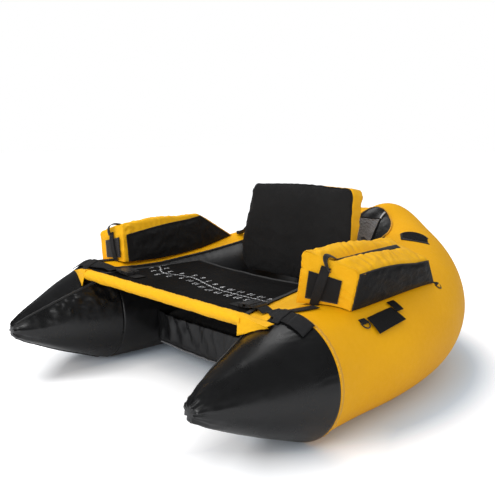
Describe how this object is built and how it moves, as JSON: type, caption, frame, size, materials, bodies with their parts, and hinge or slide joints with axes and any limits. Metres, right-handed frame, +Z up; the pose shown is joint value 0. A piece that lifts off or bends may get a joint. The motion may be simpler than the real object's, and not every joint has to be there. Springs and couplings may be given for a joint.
{
  "type": "inflatable float tube",
  "caption": "U-shaped inflatable float tube with pointed bow cones, slung seat, hinged backrest, lap apron with a stabilizer bar, side pockets and a rear cargo net.",
  "frame": {"origin": "on the ground under the middle of the hull's length and width", "axes": "+Z up, -Y towards the open bow with the two nose cones, +Y towards the stern, +X towards the side of the right-hand names; metres"},
  "size_m": [1.188, 1.377, 0.5563],
  "materials": {
    "yellow_cloth": "golden yellow coated polyester cloth, light weave, slight sheen",
    "black_cloth": "matt black nylon cloth",
    "black_vinyl": "semi-gloss black coated vinyl",
    "bladder_film": "smooth dark grey bladder film",
    "pad_foam": "plain grey foam",
    "black_plastic": "moulded black acetal",
    "grey_net_cord": "knotted pale grey net cord",
    "aluminium_tube": "plain bright metal",
    "grey_black_webbing": "woven dark grey webbing",
    "hook_and_loop": "black loop cloth",
    "grey_trim": "pale grey piping"
  },
  "bodies": {
    "float_hull": {"air_bladder_left": "bladder_film", "air_bladder_right": "bladder_film", "apron_strap_left": "grey_black_webbing", "apron_strap_right": "grey_black_webbing", "backrest_strap_left": "grey_black_webbing", "backrest_strap_right": "grey_black_webbing", "cargo_net": "grey_net_cord", "corner_flap_left": "yellow_cloth", "corner_flap_right": "yellow_cloth", "hull_cover": "yellow_cloth", "hull_under_panel": "black_vinyl", "nose_cone_left": "black_vinyl", "nose_cone_right": "black_vinyl", "pocket_left": "yellow_cloth", "pocket_panel_left": "black_cloth", "pocket_panel_right": "black_cloth", "pocket_patch_left": "hook_and_loop", "pocket_patch_right": "hook_and_loop", "pocket_right": "yellow_cloth", "pocket_strap_left": "grey_black_webbing", "pocket_strap_right": "grey_black_webbing", "pocket_zip_tape_left": "black_cloth", "pocket_zip_tape_right": "black_cloth", "ring_tab_front_left": "grey_black_webbing", "ring_tab_front_right": "grey_black_webbing", "ring_tab_rear_left": "grey_black_webbing", "ring_tab_rear_right": "grey_black_webbing", "rod_strap_left": "grey_black_webbing", "rod_strap_right": "grey_black_webbing", "seat_cushion": "black_cloth", "seat_front_piping": "grey_trim", "seat_sling": "black_cloth", "stern_inner_panel": "black_cloth", "valve_body_left": "black_plastic", "valve_body_right": "black_plastic"},
    "backrest": {"backrest_back": "yellow_cloth", "backrest_front": "black_cloth", "backrest_gusset": "yellow_cloth", "backrest_pad": "pad_foam"},
    "apron_panel": {"apron": "black_cloth", "apron_sleeve": "yellow_cloth", "stabilizer_bar": "aluminium_tube", "buckle_socket_left": "black_plastic", "buckle_socket_right": "black_plastic", "buckle_tab_left": "grey_black_webbing", "buckle_tab_right": "grey_black_webbing"},
    "buckle_plug_left": {"buckle_plug_left": "black_plastic"},
    "zip_slider_left": {"pocket_zip_slider_left": "black_plastic"},
    "zip_pull_left": {"pocket_zip_pull_left": "black_plastic"},
    "valve_flap_left": {"valve_flap_left": "black_cloth"},
    "valve_cap_left": {"valve_cap_left": "black_plastic"},
    "d_ring_front_left": {"d_ring_front_left": "black_plastic"},
    "d_ring_rear_left": {"d_ring_rear_left": "black_plastic"},
    "buckle_plug_right": {"buckle_plug_right": "black_plastic"},
    "zip_slider_right": {"pocket_zip_slider_right": "black_plastic"},
    "zip_pull_right": {"pocket_zip_pull_right": "black_plastic"},
    "valve_flap_right": {"valve_flap_right": "black_cloth"},
    "valve_cap_right": {"valve_cap_right": "black_plastic"},
    "d_ring_front_right": {"d_ring_front_right": "black_plastic"},
    "d_ring_rear_right": {"d_ring_rear_right": "black_plastic"}
  },
  "joints": [
    {"name": "backrest_fold", "type": "hinge", "parent": "float_hull", "child": "backrest", "pos_m": [0, 0.08, 0.25], "axis": [1, 0, 0], "range_deg": [0, 75], "deforming": ["backrest_strap_left", "backrest_strap_right"]},
    {"name": "apron_swing", "type": "hinge", "parent": "float_hull", "child": "apron_panel", "pos_m": [-0.36, -0.4615, 0.303], "axis": [-0.1306, -0.9914, 0], "range_deg": [0, 80], "deforming": ["apron_strap_left", "apron_strap_right"]},
    {"name": "buckle_release_left", "type": "slide", "parent": "apron_panel", "child": "buckle_plug_left", "axis": [-0.9962, 0, 0.0872], "range_m": [0, 0.03], "deforming": ["buckle_plug_left", "apron_strap_left"]},
    {"name": "zip_run_left", "type": "slide", "parent": "float_hull", "child": "zip_slider_left", "axis": [0.0035, 0.9999, 0.0144], "range_m": [-0.01, 0.12]},
    {"name": "zip_pull_swing_left", "type": "hinge", "parent": "zip_slider_left", "child": "zip_pull_left", "pos_m": [-0.43776, -0.17369, 0.42407], "axis": [-0.9035, 0.0093, -0.4285], "range_deg": [0, 160]},
    {"name": "d_ring_swing_front_left", "type": "hinge", "parent": "float_hull", "child": "d_ring_front_left", "pos_m": [-0.52126, -0.205, 0.27393], "axis": [0, 1, 0], "range_deg": [0, 150]},
    {"name": "d_ring_swing_rear_left", "type": "hinge", "parent": "float_hull", "child": "d_ring_rear_left", "pos_m": [-0.4814, 0.19049, 0.30163], "axis": [0.3039, 0.9527, 0], "range_deg": [0, 150]},
    {"name": "valve_flap_open_left", "type": "hinge", "parent": "float_hull", "child": "valve_flap_left", "pos_m": [-0.31636, 0.35136, 0.36125], "axis": [0.7771, -0.594, 0.2079], "range_deg": [0, 35]},
    {"name": "valve_cap_turn_left", "type": "hinge", "parent": "float_hull", "child": "valve_cap_left", "pos_m": [-0.27088, 0.41051, 0.37309], "axis": [-0.3316, 0.0435, 0.9424], "range_deg": [0, 270]},
    {"name": "buckle_release_right", "type": "slide", "parent": "apron_panel", "child": "buckle_plug_right", "axis": [0.9962, 0, 0.0872], "range_m": [0, 0.03], "deforming": ["buckle_plug_right", "apron_strap_right"]},
    {"name": "zip_run_right", "type": "slide", "parent": "float_hull", "child": "zip_slider_right", "axis": [-0.0035, 0.9999, 0.0144], "range_m": [-0.01, 0.12]},
    {"name": "zip_pull_swing_right", "type": "hinge", "parent": "zip_slider_right", "child": "zip_pull_right", "pos_m": [0.43776, -0.17369, 0.42407], "axis": [-0.9035, -0.0093, 0.4285], "range_deg": [0, 160]},
    {"name": "d_ring_swing_front_right", "type": "hinge", "parent": "float_hull", "child": "d_ring_front_right", "pos_m": [0.52126, -0.205, 0.27393], "axis": [0, -1, 0], "range_deg": [0, 150]},
    {"name": "d_ring_swing_rear_right", "type": "hinge", "parent": "float_hull", "child": "d_ring_rear_right", "pos_m": [0.4814, 0.19049, 0.30163], "axis": [0.3039, -0.9527, 0], "range_deg": [0, 150]},
    {"name": "valve_flap_open_right", "type": "hinge", "parent": "float_hull", "child": "valve_flap_right", "pos_m": [0.31636, 0.35136, 0.36125], "axis": [0.7771, 0.594, -0.2079], "range_deg": [0, 35]},
    {"name": "valve_cap_turn_right", "type": "hinge", "parent": "float_hull", "child": "valve_cap_right", "pos_m": [0.27088, 0.41051, 0.37309], "axis": [0.3316, 0.0435, 0.9424], "range_deg": [0, 270]}
  ]
}
